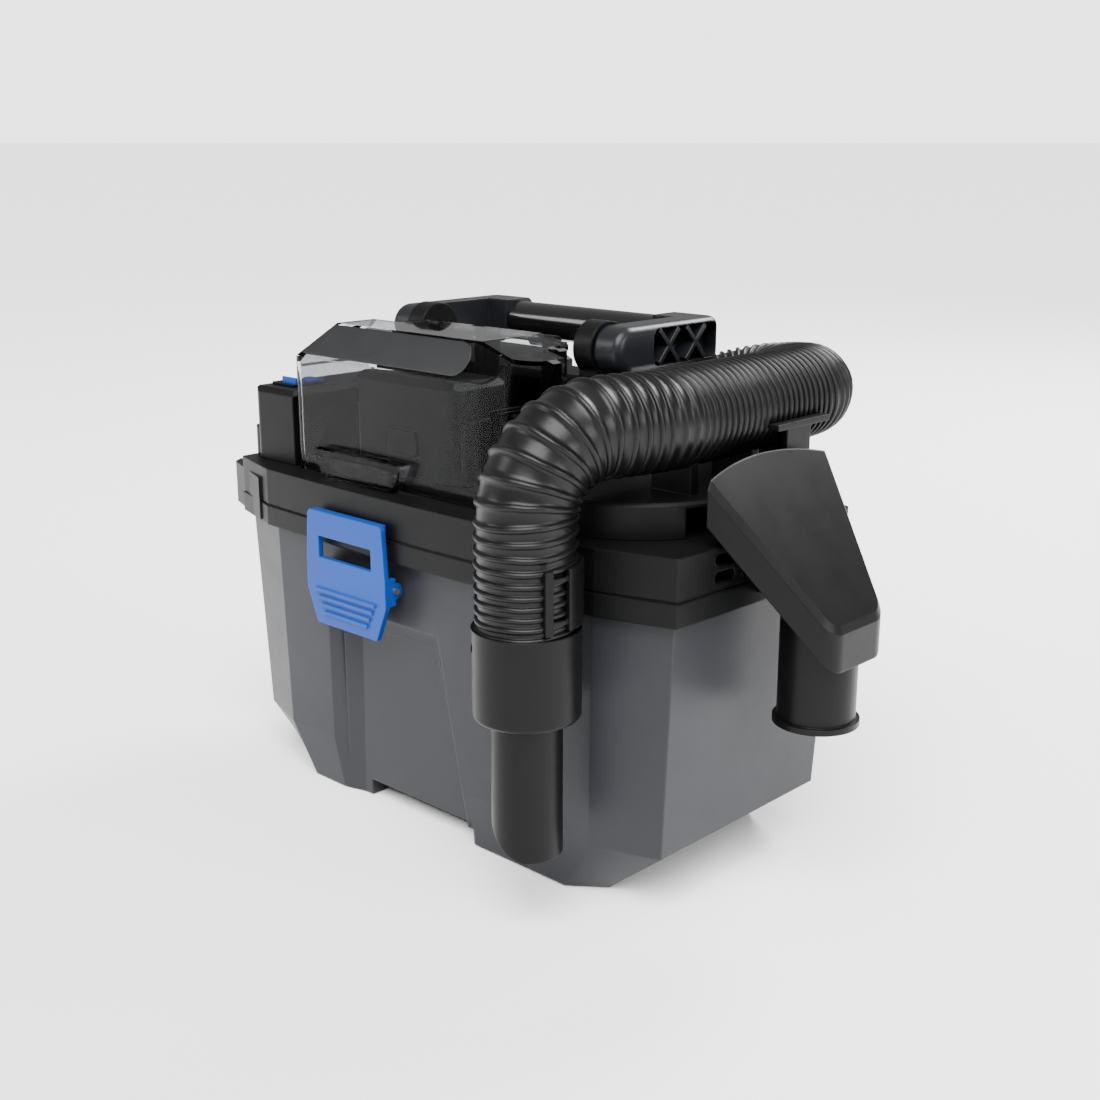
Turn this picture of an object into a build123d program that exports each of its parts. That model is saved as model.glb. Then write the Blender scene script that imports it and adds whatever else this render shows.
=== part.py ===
from build123d import *
import math
import os

os.makedirs("parts", exist_ok=True)

# ---------------------------------------------------------------- driving sizes (mm)
# The object stands on z = 0. X runs along the latch face, -Y is the front, +X holds the nozzle.

# tank: eight-sided bucket with a bevelled foot
tank_half_x = 162.0
tank_half_y = 78.0
tank_top = 157.0
tank_wall = 3.0
corner_x = 40.0
corner_y = 12.0
base_z = 1.0
bevel_z = 30.0
bevel_half_x = 155.0
bevel_half_y = 76.0
foot_half_x = 119.0
foot_half_y = 74.0
foot_cut = 18.0
pad_r = 18.0
foot_radius = 8.0
foot_height = 3.0

# lid rim that closes the tank
rim_gap = 1.0
rim_wall = 3.0
rim_bow = 4.0
rim_bottom = 151.0
seal_thick = 2.0
groove_z = 163.0
groove_size = 1.2
deck_thick = 3.0
deck_top = 184.0
lip_reach = 22.0
lip_bottom = 152.0
lip_top = 177.0

# left console and power switch
console_right = -119.0
console_left = -157.0
console_step = 12.0
console_top = 227.0
console_step_top = 201.0
console_front = -66.0
console_back = 58.0
switch_x = -141.0
switch_y = -42.0
switch_wide = 14.0
switch_long = 22.0

# head housing behind the battery bay
head_left = -117.0
head_right = 58.0
head_front = -4.0
head_back = 64.0
head_notch_x = -22.0
head_notch_y = 28.0
head_top = 246.0
shell = 3.0

# clear battery cover
cover_left = -117.0
cover_right = 60.0
cover_front = -68.0
cover_back = -12.0
cover_top = 268.0
cover_bevel_z = 249.0
cover_bevel_y = 11.0
cover_wall = 2.5
cover_pin_y = -9.0
cover_pin_z = 263.0
cover_pin_r = 2.0

# battery pack
pack_wide = 80.0
pack_x = -32.0
pack_front = -58.0
pack_back = -19.0
pack_bottom = 192.0
pack_top = 244.0

# latches
latch_x = -45.0
latch_wide = 66.0
latch_pivot_z = 135.0
latch_out = 6.0
latch_low = 107.0
latch_high = 171.0
latch_pin_r = 2.0

# carry handle, folded back over the head
handle_y = 1.0
handle_z = 262.0
handle_r = 12.0
arm_thick = 16.0
arm_inner = 71.0
handle_mid = -9.0
grip_reach = 63.0
grip_r = 10.5
grip_half = 56.5
boss_r = 14.0
boss_thick = 12.0
pivot_r = 4.0

# motor and fan, on one vertical axis
motor_x = -68.0
motor_y = 30.0
motor_r = 26.5
fan_r = 26.5
shaft_r = 4.0
bearing_r = 9.0

# hose and the tools that it carries
hose_r = 23.5
hose_bore = 20.0
hose_x = 110.0
hose_y = -110.0
cuff_r = 25.7
cuff_top = 150.0
cuff_low = 106.0
tool_r = 17.0
tool_wall = 2.2
tool_tip = 38.0
tool_cut = 27.0

# nozzle on the right side
nozzle_x = 195.0
nozzle_y = 3.0
nozzle_r = 19.0
nozzle_wall = 2.5
nozzle_low = 94.0
nozzle_socket_top = 128.0
throat_r = 15.3
mouth_x = 163.0
mouth_z = 215.0
mouth_half = 49.0
nozzle_slope = 1.23
nozzle_thick = 21.0
tip_r = 22.0

# fits
run_fit = 0.05
part_gap = 0.4


def octagon(z, half_x, half_y, cut_x=corner_x, cut_y=corner_y):
    """Eight-sided level outline with long corner facets, at height z."""
    with BuildSketch(Plane.XY.offset(z)) as outline:
        with BuildLine():
            Polyline(
                (cut_x - half_x, -half_y),
                (half_x - cut_x, -half_y),
                (half_x, cut_y - half_y),
                (half_x, half_y - cut_y),
                (half_x - cut_x, half_y),
                (cut_x - half_x, half_y),
                (-half_x, half_y - cut_y),
                (-half_x, cut_y - half_y),
                close=True,
            )
        make_face()
    return outline.sketch


def bowed_octagon(z, half_x, half_y, bow):
    """The same outline with its long sides bowed outward."""
    flat_x = half_x - corner_x
    flat_y = half_y - corner_y
    with BuildSketch(Plane.XY.offset(z)) as outline:
        with BuildLine():
            ThreePointArc((-flat_x, -half_y), (0, -half_y - bow), (flat_x, -half_y))
            Line((flat_x, -half_y), (half_x, -flat_y))
            ThreePointArc((half_x, -flat_y), (half_x + bow / 2, 0), (half_x, flat_y))
            Line((half_x, flat_y), (flat_x, half_y))
            ThreePointArc((flat_x, half_y), (0, half_y + bow), (-flat_x, half_y))
            Line((-flat_x, half_y), (-half_x, flat_y))
            Line((-half_x, flat_y), (-half_x, -flat_y))
            Line((-half_x, -flat_y), (-flat_x, -half_y))
        make_face()
    return outline.sketch


def polygon(plane, points):
    """Closed straight-sided outline on a plane."""
    with BuildSketch(plane) as outline:
        with BuildLine():
            Polyline(*points, close=True)
        make_face()
    return outline.sketch


def block(x0, x1, y0, y1, z0, z1, mode=Mode.ADD):
    """Box between two corners, added to or cut from the part being built."""
    with Locations(((x0 + x1) / 2, (y0 + y1) / 2, (z0 + z1) / 2)):
        Box(x1 - x0, y1 - y0, z1 - z0, mode=mode)


def drum(x, y, z0, z1, radius, mode=Mode.ADD):
    """Upright cylinder from z0 to z1."""
    with Locations((x, y, (z0 + z1) / 2)):
        Cylinder(radius, z1 - z0, mode=mode)


def bar_x(x0, x1, y, z, radius, mode=Mode.ADD):
    """Cylinder lying along X."""
    with Locations(Location(((x0 + x1) / 2, y, z), (0, 90, 0))):
        Cylinder(radius, x1 - x0, mode=mode)


def save(part, label):
    part.part.label = label
    export_step(part.part, f"parts/{label}.step")


# ---------------------------------------------------------------- tank
rim_half_x = tank_half_x + rim_gap + rim_wall
rim_half_y = tank_half_y + rim_gap + rim_wall
recess_left = -92.0
recess_right = 37.0
recess_top = 116.0
recess_depth = 8.0
grip_left = -54.0
grip_right = 35.0
grip_depth = 20.0
grip_height = 9.0
foot_x = foot_half_x - 38.0
foot_y = foot_half_y - 18.0
feet = [(sx * foot_x, sy * foot_y) for sx in (-1, 1) for sy in (-1, 1)]
lug_thick = 7.0
lug_spread = 17.0
latch_pivot_y = tank_half_y + latch_out

with BuildPart() as tank:
    loft(sections=[
        octagon(base_z, foot_half_x, foot_half_y, foot_cut, foot_cut - 4),
        octagon(bevel_z, bevel_half_x, bevel_half_y, corner_x - 4),
        octagon(tank_top, tank_half_x, tank_half_y),
    ], ruled=True)
    loft(sections=[
        octagon(base_z + tank_wall, foot_half_x - tank_wall, foot_half_y - tank_wall,
                foot_cut, foot_cut - 4),
        octagon(bevel_z, bevel_half_x - tank_wall, bevel_half_y - tank_wall, corner_x - 4),
        octagon(tank_top, tank_half_x - tank_wall, tank_half_y - tank_wall),
    ], ruled=True, mode=Mode.SUBTRACT)
    # the front panel is pressed inward below the latch, with its backing
    backing_y = recess_depth + tank_wall
    block(recess_left + 22, recess_right - 4, -tank_half_y + 3, backing_y - tank_half_y,
          base_z + 1, recess_top - 6)
    loft(sections=[
        polygon(Plane.XZ.offset(tank_half_y + 1),
                [(recess_left, base_z - 1), (recess_right, base_z - 1),
                 (recess_right - 23, recess_top), (recess_left + 8, recess_top)]),
        polygon(Plane.XZ.offset(tank_half_y - recess_depth),
                [(recess_left + 32, base_z - 1), (recess_right - 8, base_z - 1),
                 (recess_right - 33, recess_top - 13), (recess_left + 34, recess_top - 13)]),
    ], ruled=True, mode=Mode.SUBTRACT)
    # finger hold under the front edge
    block(grip_left - 3, grip_right + 3, -tank_half_y + 9, grip_depth - tank_half_y + 3,
          base_z + 1, base_z + grip_height + 3)
    block(grip_left, grip_right, -tank_half_y - 2, grip_depth - tank_half_y,
          base_z - 1, base_z + grip_height, mode=Mode.SUBTRACT)
    # centre pad that stands level with the feet under a full tank
    drum(0, 0, 0, base_z + 1, pad_r)
    # pockets for the rubber feet
    for x, y in feet:
        drum(x, y, base_z - 1, foot_height, foot_radius, mode=Mode.SUBTRACT)
    # lugs that carry the latch pins, front and rear
    for side in (-1, 1):
        for offset_x in (-lug_spread, lug_spread):
            x0 = latch_x + offset_x - lug_thick / 2
            near = side * (tank_half_y - 1)
            far = side * latch_pivot_y
            block(x0, x0 + lug_thick, min(near, far), max(near, far),
                  latch_pivot_z - 4, latch_pivot_z + 4)
            bar_x(x0, x0 + lug_thick, far, latch_pivot_z, 4)
        bar_x(latch_x - 30, latch_x + 30, side * latch_pivot_y, latch_pivot_z,
              latch_pin_r, mode=Mode.SUBTRACT)
save(tank, "tank")

with BuildPart() as rubber_feet:
    for x, y in feet:
        drum(x, y, 0, foot_height, foot_radius)
save(rubber_feet, "rubber_feet")

seal_top = tank_top + seal_thick
with BuildPart() as tank_seal:
    extrude(octagon(tank_top, tank_half_x - 0.4, tank_half_y - 0.4), amount=seal_thick)
    extrude(octagon(tank_top, tank_half_x - 4, tank_half_y - 4), amount=seal_thick,
            mode=Mode.SUBTRACT)
save(tank_seal, "tank_seal")

# ---------------------------------------------------------------- lid rim
inlet_x = 14.0
inlet_y = 52.0
inlet_r = 18.0
inlet_bore = 15.5
vent_pitch = 20.0
vent_long = 15.0
vent_high = 6.0
vent_rows = (169.5, 178.0)
screw_r = 1.6
head_bosses = [(head_left + 6, head_front + 6), (head_left + 6, head_back - 6),
               (head_notch_x - 6, head_back - 6), (head_right - 6, head_front + 6)]
with BuildPart() as lid_rim:
    extrude(bowed_octagon(rim_bottom, rim_half_x, rim_half_y, rim_bow),
            amount=groove_z - groove_size / 2 - rim_bottom)
    extrude(bowed_octagon(groove_z - groove_size / 2, rim_half_x - 1, rim_half_y - 1, rim_bow),
            amount=groove_size)
    extrude(bowed_octagon(groove_z + groove_size / 2, rim_half_x - 0.4, rim_half_y - 0.4, rim_bow),
            amount=deck_top - groove_z - groove_size / 2)
    # lifting lip at the left end
    lip_left = -rim_half_x - lip_reach
    extrude(polygon(Plane.XY.offset(lip_bottom), [
        (30 - rim_half_x, 2 - rim_half_y), (lip_left + 4, 20 - rim_half_y),
        (lip_left, 26 - rim_half_y), (lip_left, rim_half_y - 26),
        (lip_left + 4, rim_half_y - 20), (30 - rim_half_x, rim_half_y - 2),
    ]), amount=lip_top - lip_bottom)
    block(lip_left + rim_wall, -rim_half_x, 30 - rim_half_y, rim_half_y - 30,
          lip_bottom - 1, lip_top - rim_wall, mode=Mode.SUBTRACT)
    # skirt over the tank, shelf on the seal, hollow above the shelf
    extrude(octagon(rim_bottom, tank_half_x + rim_gap, tank_half_y + rim_gap),
            amount=seal_top - rim_bottom, mode=Mode.SUBTRACT)
    extrude(octagon(seal_top, tank_half_x - 9, tank_half_y - 7),
            amount=deck_top - deck_thick - seal_top, mode=Mode.SUBTRACT)
    extrude(octagon(seal_top + 4, tank_half_x, tank_half_y),
            amount=deck_top - deck_thick - seal_top - 4, mode=Mode.SUBTRACT)
    # air path to the fan, dirt inlet, and screw holes through the deck
    drum(motor_x, motor_y, deck_top - 5, deck_top + 1, fan_r - 4, mode=Mode.SUBTRACT)
    drum(inlet_x, inlet_y, deck_top - 5, deck_top + 1, inlet_bore, mode=Mode.SUBTRACT)
    for x, y in head_bosses:
        drum(x, y, deck_top - 5, deck_top + 1, screw_r + 0.2, mode=Mode.SUBTRACT)
    # two rows of exhaust slots in the right wall
    with BuildSketch(Plane.YZ.offset(rim_half_x + rim_bow)):
        for z in vent_rows:
            with Locations(*[(-36 + vent_pitch * i, z) for i in range(5)]):
                SlotOverall(vent_long, vent_high)
    extrude(amount=-rim_bow - 8, mode=Mode.SUBTRACT)
    # ledges that the latches hook over
    for side in (-1, 1):
        near = side * (rim_half_y + rim_bow - 3)
        far = side * (rim_half_y + rim_bow + 1.6)
        block(latch_x - 24, latch_x + 24, min(near, far), max(near, far), 157, 165)
save(lid_rim, "lid_rim")

# ---------------------------------------------------------------- left console and switch
switch_long_half = switch_long / 2
rocker_pivot_z = console_top - 6.0
with BuildPart() as left_console:
    block(console_left, console_right, console_front, console_back, deck_top, console_top)
    chamfer(left_console.edges().group_by(Axis.Z)[-1], 3)
    fillet(left_console.edges().filter_by(Axis.Z).group_by(Axis.X)[0], 7)
    with BuildPart(mode=Mode.PRIVATE) as tier:
        block(console_left - console_step, console_left + 4, console_front + 6,
              console_back - 6, deck_top, console_step_top)
        fillet(tier.edges().filter_by(Axis.Z).group_by(Axis.X)[0], 8)
    add(tier.part)
    block(console_left + shell, console_right - shell, console_front + shell,
          console_back - shell, deck_top - 1, console_top - shell - 1, mode=Mode.SUBTRACT)
    block(switch_x - switch_wide / 2 - 1, switch_x + switch_wide / 2 + 1,
          switch_y - switch_long_half - 1, switch_y + switch_long_half + 1,
          console_top - 6, console_top + 1, mode=Mode.SUBTRACT)
save(left_console, "left_console")

with BuildPart() as switch_bezel:
    block(switch_x - switch_wide / 2 - 3, switch_x + switch_wide / 2 + 3,
          switch_y - switch_long_half - 3, switch_y + switch_long_half + 3,
          console_top, console_top + 1.5)
    block(switch_x - switch_wide / 2 - 1, switch_x + switch_wide / 2 + 1,
          switch_y - switch_long_half - 1, switch_y + switch_long_half + 1,
          console_top - 1, console_top + 2, mode=Mode.SUBTRACT)
    for side in (-1, 1):
        x = switch_x + side * (switch_wide / 2 + 0.5)
        block(x - 0.5, x + 0.5, switch_y - 4, switch_y + 4, rocker_pivot_z - 5, console_top)
    bar_x(switch_x - switch_wide, switch_x + switch_wide, switch_y, rocker_pivot_z,
          1.2 + run_fit, mode=Mode.SUBTRACT)
save(switch_bezel, "switch_bezel")

# rocker: a shallow V on a cross pin, stored with its rear end down
rocker_tilt = 7.0
rocker_half = switch_long_half - 0.6
with BuildPart() as power_switch:
    with BuildSketch(Plane.YZ.offset(switch_x - switch_wide / 2 + 0.4)):
        with BuildLine():
            Polyline((switch_y - rocker_half, rocker_pivot_z + 3),
                     (switch_y - rocker_half, rocker_pivot_z + 9.5),
                     (switch_y, rocker_pivot_z + 7.5),
                     (switch_y + rocker_half, rocker_pivot_z + 9.5),
                     (switch_y + rocker_half, rocker_pivot_z + 3),
                     (switch_y, rocker_pivot_z - 4), close=True)
        make_face()
    extrude(amount=switch_wide - 0.8)
    bar_x(switch_x - switch_wide / 2 - 0.8, switch_x + switch_wide / 2 + 0.8, switch_y,
          rocker_pivot_z, 1.2)
power_switch.part = power_switch.part.rotate(
    Axis((switch_x, switch_y, rocker_pivot_z), (1, 0, 0)), -rocker_tilt)
save(power_switch, "power_switch")

board_x = -138.0
with BuildPart() as board_standoffs:
    for x in (board_x - 9, board_x + 9):
        for y in (-4, 36):
            drum(x, y, deck_top, deck_top + 6, 2)
save(board_standoffs, "board_standoffs")

with BuildPart() as circuit_board:
    block(board_x - 13, board_x + 13, -10, 42, deck_top + 6, deck_top + 7.6)
    block(board_x - 8, board_x + 2, 4, 18, deck_top + 7.6, deck_top + 18)
    drum(board_x + 7, 30, deck_top + 7.6, deck_top + 20, 4)
save(circuit_board, "circuit_board")

# ---------------------------------------------------------------- head housing
boss_right = arm_inner - 1 + handle_mid - boss_thick
boss_left = -arm_inner + 1 + handle_mid
lug_places = (-56, -20, 30)
pin_left = lug_places[0] - 6
pin_right = lug_places[2] + 6
with BuildPart() as head_housing:
    block(head_left, head_notch_x, head_front, head_back, deck_top, head_top)
    block(head_notch_x - 1, head_right, head_front, head_notch_y, deck_top, head_top)
    chamfer(head_housing.edges().group_by(Axis.Z)[-1], 4)
    block(head_left + shell, head_notch_x - shell, head_front + shell, head_back - shell,
          deck_top - 1, head_top - shell, mode=Mode.SUBTRACT)
    block(head_notch_x - shell - 1, head_right - shell, head_front + shell, head_notch_y - shell,
          deck_top - 1, head_top - shell, mode=Mode.SUBTRACT)
    for x, y in head_bosses:
        drum(x, y, deck_top, deck_top + 16, 4)
        drum(x, y, deck_top - 1, deck_top + 12, screw_r, mode=Mode.SUBTRACT)
    # hinge lugs for the cover pin
    for x in lug_places:
        block(x - 4, x + 4, cover_pin_y - 3, cover_pin_y + 8, head_top - 8, cover_pin_z)
        bar_x(x - 4, x + 4, cover_pin_y, cover_pin_z, 4)
    bar_x(pin_left, pin_right, cover_pin_y, cover_pin_z, cover_pin_r, mode=Mode.SUBTRACT)
save(head_housing, "head_housing")

with BuildPart() as cover_hinge_pin:
    bar_x(pin_left, pin_right, cover_pin_y, cover_pin_z, cover_pin_r)
save(cover_hinge_pin, "cover_hinge_pin")

with BuildPart() as handle_bosses:
    for x in (boss_left, boss_right):
        block(x, x + boss_thick, handle_y - boss_r + 5, handle_y + boss_r - 3, head_top, handle_z)
        bar_x(x, x + boss_thick, handle_y, handle_z, boss_r)
        bar_x(x, x + boss_thick, handle_y, handle_z, pivot_r, mode=Mode.SUBTRACT)
save(handle_bosses, "handle_bosses")

with BuildPart() as housing_screws:
    for x, y in head_bosses:
        drum(x, y, deck_top - deck_thick, deck_top + 10, screw_r)
        drum(x, y, deck_top - deck_thick - 2.4, deck_top - deck_thick, 3.2)
save(housing_screws, "housing_screws")

# ---------------------------------------------------------------- motor and fan
shroud_r = fan_r + 3.5
shroud_top = deck_top + 13.0
motor_low = shroud_top
motor_top = motor_low + 39.0
with BuildPart() as fan_housing:
    drum(motor_x, motor_y, deck_top, shroud_top, shroud_r)
    drum(motor_x, motor_y, deck_top - 1, shroud_top - 2.5, shroud_r - 2, mode=Mode.SUBTRACT)
    drum(motor_x, motor_y, deck_top, shroud_top + 1, shaft_r + 2, mode=Mode.SUBTRACT)
save(fan_housing, "fan_housing")

with BuildPart() as impeller:
    drum(motor_x, motor_y, deck_top + 2, deck_top + 3.2, fan_r)
    drum(motor_x, motor_y, deck_top + 2, deck_top + 9.5, 9)
    with Locations((motor_x, motor_y, deck_top + 6)):
        with PolarLocations(17, 9):
            Box(18, 1.2, 7)
    drum(motor_x, motor_y, deck_top, deck_top + 12, shaft_r, mode=Mode.SUBTRACT)
save(impeller, "impeller")

with BuildPart() as motor_shaft:
    drum(motor_x, motor_y, deck_top + 1, motor_top + 2, shaft_r)
save(motor_shaft, "motor_shaft")

bearing_high = 6.0
with BuildPart() as motor:
    drum(motor_x, motor_y, motor_low, motor_top, motor_r)
    chamfer(motor.edges().group_by(Axis.Z)[-1], 2)
    drum(motor_x, motor_y, motor_low - 1, motor_top + 1, shaft_r + 1, mode=Mode.SUBTRACT)
    for z in (motor_low, motor_top - bearing_high):
        drum(motor_x, motor_y, z, z + bearing_high, bearing_r, mode=Mode.SUBTRACT)
save(motor, "motor")

with BuildPart() as motor_bearings:
    for z in (motor_low, motor_top - bearing_high):
        drum(motor_x, motor_y, z, z + bearing_high, bearing_r)
    drum(motor_x, motor_y, motor_low - 1, motor_top + 1, shaft_r + run_fit, mode=Mode.SUBTRACT)
save(motor_bearings, "motor_bearings")

# ---------------------------------------------------------------- filter, cage and float
cage_r = 34.0
cage_low = 100.0
deck_low = deck_top - deck_thick
float_r = 13.0
with BuildPart() as filter_cage:
    drum(motor_x, motor_y, cage_low, deck_low, cage_r)
    drum(motor_x, motor_y, cage_low + 3, deck_low + 1, cage_r - 3, mode=Mode.SUBTRACT)
    for z in (cage_low + 14, cage_low + 44):
        with Locations((motor_x, motor_y, z + 12)):
            for i in range(4):
                with Locations(Rotation(0, 0, 45 * i)):
                    Box(cage_r * 3, 14, 24, mode=Mode.SUBTRACT)
    drum(motor_x, motor_y, cage_low - 1, cage_low + 4, 7, mode=Mode.SUBTRACT)
    for z in (cage_low + 34,):
        drum(motor_x, motor_y, z, z + 2.5, cage_r - 2)
        drum(motor_x, motor_y, z - 1, z + 4, 8, mode=Mode.SUBTRACT)
save(filter_cage, "filter_cage")

with BuildPart() as filter_sleeve:
    drum(motor_x, motor_y, cage_low + 6, deck_low - 2, cage_r + 7)
    drum(motor_x, motor_y, cage_low + 5, deck_low, cage_r, mode=Mode.SUBTRACT)
save(filter_sleeve, "filter_sleeve")

with BuildPart() as filter_clamp:
    drum(motor_x, motor_y, cage_low, cage_low + 6, cage_r + 6)
    drum(motor_x, motor_y, cage_low - 1, cage_low + 7, cage_r, mode=Mode.SUBTRACT)
save(filter_clamp, "filter_clamp")

with BuildPart() as float_ball:
    with Locations((motor_x, motor_y, cage_low + 3 + 0.3 + float_r - 1.7)):
        Sphere(float_r)
save(float_ball, "float_ball")

# ---------------------------------------------------------------- battery bay, pack and cover
bay_floor = pack_bottom - 2.0
with BuildPart() as battery_bay:
    block(cover_left + 5, head_right - 20, cover_front + 6, head_front, deck_top, bay_floor)
    for x in (pack_x - pack_wide / 2 - 4.5, pack_x + pack_wide / 2 + 0.5):
        block(x, x + 4, pack_front + 4, head_front, bay_floor, bay_floor + 34)
    for i in range(3):
        x = pack_x + pack_wide / 2 + 11 + 8 * i
        block(x, x + 2, -44, head_front, bay_floor, bay_floor + 40)
save(battery_bay, "battery_bay")

button_z = pack_bottom + 17.0
with BuildPart() as battery_pack:
    block(pack_x - pack_wide / 2, pack_x + pack_wide / 2, pack_front, pack_back,
          bay_floor, pack_top)
    chamfer(battery_pack.edges().group_by(Axis.Z)[-1], 4)
    fillet(battery_pack.edges().filter_by(Axis.Z), 5)
    block(pack_x - 12, pack_x + 12, pack_front - 1, pack_front + 5, button_z - 7,
          button_z + 7, mode=Mode.SUBTRACT)
save(battery_pack, "battery_pack")

with BuildPart() as battery_button:
    block(pack_x - 12 + part_gap, pack_x + 12 - part_gap, pack_front - 1.5, pack_front + 2.5,
          button_z - 7 + part_gap, button_z + 7 - part_gap)
    fillet(battery_button.edges().filter_by(Axis.Y), 2)
save(battery_button, "battery_button")

with BuildPart() as battery_terminals:
    block(pack_x - 14, pack_x + 14, pack_back, pack_back + 8, bay_floor, bay_floor + 24)
save(battery_terminals, "battery_terminals")


def cover_body(inset):
    """Bevelled hood of the battery cover, drawn inset from its outer faces."""
    left = cover_left + inset
    right = cover_right - inset
    front = cover_front + inset
    top = cover_top - inset
    low = deck_top + part_gap - inset
    bevel_z = cover_bevel_z - inset * 0.4
    with BuildPart() as hood:
        with BuildSketch(Plane.YZ.offset(left)):
            with BuildLine():
                Polyline((front, low), (front, bevel_z), (front + cover_bevel_y, top),
                         (cover_back + inset, top), (cover_back + inset, low), close=True)
            make_face()
        extrude(amount=right - left)
        # sloped shoulders at the left and right ends of the top
        with BuildSketch(Plane.XZ.offset(-cover_front + 10)):
            with BuildLine():
                Polyline((left - 1, top - 25), (left, top - 24), (left + 30, top),
                         (left + 30, top + 5), (left - 1, top + 5), close=True)
            make_face()
            with BuildLine():
                Polyline((right + 1, top - 9), (right, top - 8), (right - 32, top),
                         (right - 32, top + 5), (right + 1, top + 5), close=True)
            make_face()
        extrude(amount=-100, mode=Mode.SUBTRACT)
        corner = hood.edges().filter_by(Axis.Z).group_by(Axis.Y)[0].sort_by(Axis.X)[-1]
        fillet(corner, 26 - inset)
        bend = hood.edges().filter_by(Axis.Z).group_by(Axis.Y)[0].sort_by(Axis.X)[0]
        fillet(bend, 9 - inset)
    return hood.part


hood_hollow = cover_body(cover_wall)
notch_deep = 19.0
knuckle_places = (lug_places[0] + 9, lug_places[1] + 9, lug_places[2] - 9)
with BuildPart() as battery_cover:
    add(cover_body(0))
    add(hood_hollow, mode=Mode.SUBTRACT)
    add(hood_hollow.moved(Location((0, 6, -3))), mode=Mode.SUBTRACT)
    # arched opening in the right end
    with BuildSketch(Plane.YZ.offset(cover_right - 12)):
        with BuildLine():
            Polyline((-39, deck_top - 2), (-39, 232), (-24, 250), (cover_back + 2, 250),
                     (cover_back + 2, deck_top - 2), close=True)
        make_face()
    extrude(amount=20, mode=Mode.SUBTRACT)
    # notches that clear the handle pivots
    block(boss_right - 4, cover_right + 1, cover_back - notch_deep, cover_back + 1,
          cover_bevel_z - 6, cover_top + 1, mode=Mode.SUBTRACT)
    block(-arm_inner + handle_mid - arm_thick - 3, boss_left + boss_thick + 3,
          cover_back - notch_deep, cover_back + 1, cover_bevel_z, cover_top + 1, mode=Mode.SUBTRACT)
    for x in lug_places:
        block(x - 4 - part_gap, x + 4 + part_gap, cover_back - 3, cover_back + 1,
              cover_pin_z - 2, cover_top + 1, mode=Mode.SUBTRACT)
    # finger tab at the lower front edge
    with BuildSketch(Plane.XZ.offset(-cover_front - 1)):
        with BuildLine():
            Polyline((-90, 200), (-82, 185), (-24, 185), (-16, 200), close=True)
        make_face()
    extrude(amount=8)
    block(-78, -28, cover_front - 4.5, cover_front + 0.5, deck_top - 1, 196, mode=Mode.SUBTRACT)
    # hinge knuckles
    for x in knuckle_places:
        bar_x(x - 4.5, x + 4.5, cover_pin_y, cover_pin_z, 4)
        block(x - 4.5, x + 4.5, cover_back - 3, cover_pin_y, cover_pin_z + 1, cover_pin_z + 4)
    bar_x(pin_left, pin_right, cover_pin_y, cover_pin_z, cover_pin_r + run_fit, mode=Mode.SUBTRACT)
save(battery_cover, "battery_cover")

# blank plate on the bevel of the cover
plate_middle = -43.0
plate_long = 136.0
bevel_rise = cover_top - cover_bevel_z
bevel_length = math.hypot(bevel_rise, cover_bevel_y)
bevel_plane = Plane(
    origin=(plate_middle, cover_front + cover_bevel_y / 2, (cover_top + cover_bevel_z) / 2),
    x_dir=(1, 0, 0),
    z_dir=(0, -bevel_rise, cover_bevel_y),
)
with BuildPart() as label_plate:
    with BuildSketch(bevel_plane):
        SlotOverall(plate_long, bevel_length - 3)
    extrude(amount=0.8)
    # its left end is cut back along the cover's sloped shoulder
    with BuildSketch(Plane.XZ.offset(-cover_front + 10)):
        with BuildLine():
            Polyline((cover_left - 10, cover_top - 33), (cover_left + 37, cover_top + 4.6),
                     (cover_left - 10, cover_top + 5), close=True)
        make_face()
    extrude(amount=-100, mode=Mode.SUBTRACT)
save(label_plate, "label_plate")

with BuildPart() as cover_catch:
    block(-60, -46, cover_front + cover_wall + part_gap, cover_front + 6, deck_top, deck_top + 8)
save(cover_catch, "cover_catch")

# ---------------------------------------------------------------- latches
rib_count = 4


def latch_shape(side):
    """Hooked latch with a window and thumb ribs, on the front (-1) or rear (1) face."""
    outer = rim_half_y + rim_bow + 5.5
    pivot_y = tank_half_y + latch_out
    half = latch_wide / 2
    with BuildPart() as latch:
        with BuildSketch(Plane.XZ.offset(outer - 3)):
            with BuildLine():
                Polyline((latch_x - half + 2, latch_high - 2), (latch_x - half + 4, latch_high),
                         (latch_x + half - 4, latch_high), (latch_x + half - 2, latch_high - 2),
                         (latch_x + half, 142), (latch_x + half, 126),
                         (latch_x + half - 8, latch_low), (latch_x - half + 8, latch_low),
                         (latch_x - half, 126), (latch_x - half, 142), close=True)
            make_face()
        extrude(amount=3)
        # hook over the rim ledge
        block(latch_x - half + 4, latch_x + half - 4, -outer + 1, -rim_half_y - rim_bow - part_gap,
              165.4, latch_high)
        # side cheeks that carry the pin
        for x in (latch_x - half, latch_x + half - 4):
            block(x, x + 4, -outer + 1, -pivot_y, 127, 142)
            bar_x(x, x + 4, -pivot_y, latch_pivot_z, 4.5)
        block(latch_x - 22, latch_x + 22, -outer - 1, -outer + 4, 145, 157, mode=Mode.SUBTRACT)
        for i in range(rib_count):
            reach = half - 8 - 2.2 * i
            block(latch_x - reach, latch_x + reach, -outer - 1.2, -outer, 125.5 - 4.2 * i, 127.5 - 4.2 * i)
        bar_x(latch_x - half - 2, latch_x + half + 2, -pivot_y, latch_pivot_z,
              latch_pin_r + run_fit, mode=Mode.SUBTRACT)
    if side > 0:
        return latch.part.mirror(Plane.XZ)
    return latch.part


for side, label in ((-1, "front_latch"), (1, "rear_latch")):
    with BuildPart() as latch:
        add(latch_shape(side))
    save(latch, label)

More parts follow.
